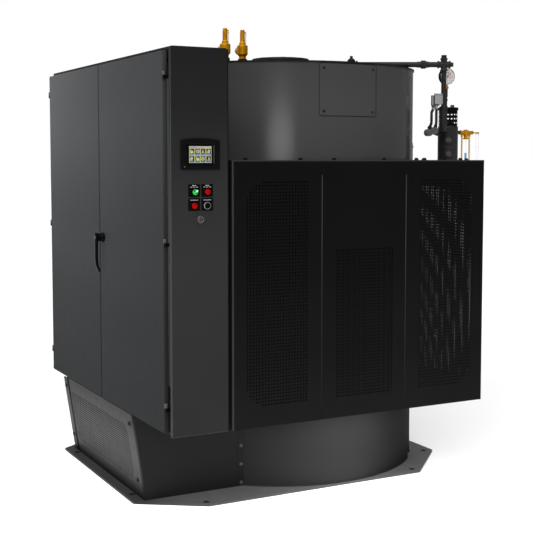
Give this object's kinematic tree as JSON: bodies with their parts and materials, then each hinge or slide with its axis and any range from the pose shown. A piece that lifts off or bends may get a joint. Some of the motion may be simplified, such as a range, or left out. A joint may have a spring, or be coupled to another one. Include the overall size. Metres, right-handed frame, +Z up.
{
  "type": "industrial boiler",
  "caption": "Upright packaged steam boiler: round insulated vessel with safety valves and water column, two-door control cabinet on a louvred pedestal, and a perforated front cover.",
  "frame": {"origin": "vessel axis on the floor, at the underside of the floor plate", "axes": "+Z up; -Y is the side of the perforated cover and the control panel; -X is the side the cabinet doors face"},
  "size_m": [2.1865, 1.769, 2.25],
  "materials": {
    "jacket_paint": "satin",
    "door_paint": "satin",
    "panel_paint": "satin",
    "cover_paint": "satin",
    "plate_paint": "satin",
    "pipe_black": "satin",
    "brass": "satin",
    "grey_casting": "satin",
    "zinc": "satin",
    "black_plastic": "gloss",
    "screen": "gloss",
    "red_lens": "gloss",
    "green_plastic": "gloss",
    "clear": "gloss"
  },
  "bodies": {
    "boiler": {"base_plate": "plate_paint", "skirt_front": "jacket_paint", "skirt_right": "jacket_paint", "skirt_foot": "jacket_paint", "skirt_rear": "jacket_paint", "jacket_front": "jacket_paint", "jacket_right": "jacket_paint", "jacket_rear": "jacket_paint", "jacket_left": "jacket_paint", "top_plate": "cover_paint", "top_nozzle": "pipe_black", "access_panel": "jacket_paint", "side_panel": "jacket_paint", "pedestal_front_wall": "cover_paint", "pedestal_rear_wall": "cover_paint", "louvre_panel": "plate_paint", "pedestal_strip": "plate_paint", "pedestal_deck": "cover_paint", "cabinet_floor": "panel_paint", "cabinet_roof": "panel_paint", "cabinet_back_wall": "panel_paint", "cabinet_front_wall": "panel_paint", "cabinet_rear_wall": "panel_paint", "cabinet_mullion": "panel_paint", "mounting_plate": "zinc", "control_panel": "panel_paint", "hmi_bezel": "black_plastic", "hmi_screen": "screen", "panel_fittings": "black_plastic", "lamp_bezels": "red_lens", "cover_front": "cover_paint", "cover_side": "cover_paint", "cover_left": "cover_paint", "cover_top": "cover_paint", "cover_bottom": "cover_paint", "safety_valve_1": "brass", "safety_valve_2": "brass", "steam_pipe": "pipe_black", "column_riser": "pipe_black", "water_column": "pipe_black", "probe_guard": "cover_paint", "pressure_gauge": "black_plastic", "gauge_siphon": "brass", "switch_box": "grey_casting", "switch_conduits": "grey_casting", "gauge_cocks": "brass", "gauge_glass": "clear", "guard_rods": "brass", "hinge_posts": "zinc"},
    "front_leaf": {"front_door": "door_paint", "front_knuckles": "zinc"},
    "handle": {"door_handle": "black_plastic"},
    "rear_leaf": {"rear_door": "door_paint", "rear_knuckles": "zinc"},
    "selector": {"selector_knob": "green_plastic"},
    "button": {"stop_button": "black_plastic"}
  },
  "joints": [
    {"name": "front_door_hinge", "type": "hinge", "parent": "boiler", "child": "front_leaf", "pos_m": [-1.054, -0.957, 1.249], "axis": [0, 0, 1], "range_deg": [0, 115]},
    {"name": "rear_door_hinge", "type": "hinge", "parent": "boiler", "child": "rear_leaf", "pos_m": [-1.054, 0.709, 1.249], "axis": [0, 0, -1], "range_deg": [0, 115]},
    {"name": "handle_turn", "type": "hinge", "parent": "front_leaf", "child": "handle", "pos_m": [-1.0585, -0.186, 1.225], "axis": [-1, 0, 0], "range_deg": [0, 90]},
    {"name": "selector_turn", "type": "hinge", "parent": "boiler", "child": "selector", "pos_m": [-0.94, -1.011, 1.4645], "axis": [0, -1, 0], "range_deg": [0, 90]},
    {"name": "button_press", "type": "slide", "parent": "boiler", "child": "button", "axis": [0, 1, 0], "range_m": [0, 0.003], "stiffness_N_per_m": 400}
  ]
}
